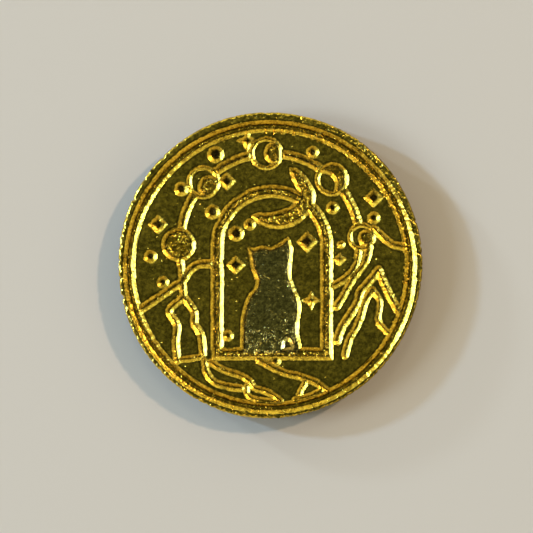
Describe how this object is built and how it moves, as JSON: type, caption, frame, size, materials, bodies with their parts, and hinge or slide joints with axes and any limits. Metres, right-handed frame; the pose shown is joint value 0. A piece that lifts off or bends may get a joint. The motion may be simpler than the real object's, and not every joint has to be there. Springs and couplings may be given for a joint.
{
  "type": "transit token",
  "caption": "Thin round metal token: an outer ring pressed round a core whose front has a sunken picture inside a border groove.",
  "frame": {"origin": "centre of the back face, on the surface the token lies on", "axes": "+Z is the front face's normal, +Y is the top of the picture, +X is its right"},
  "size_m": [0.025, 0.025, 0.002],
  "materials": {
    "ring_metal": "polished, with fine tool marks",
    "core_metal": "polished face, with rough engraved floors"
  },
  "bodies": {
    "root": {"rim_ring": "ring_metal", "core": "core_metal"}
  },
  "joints": []
}
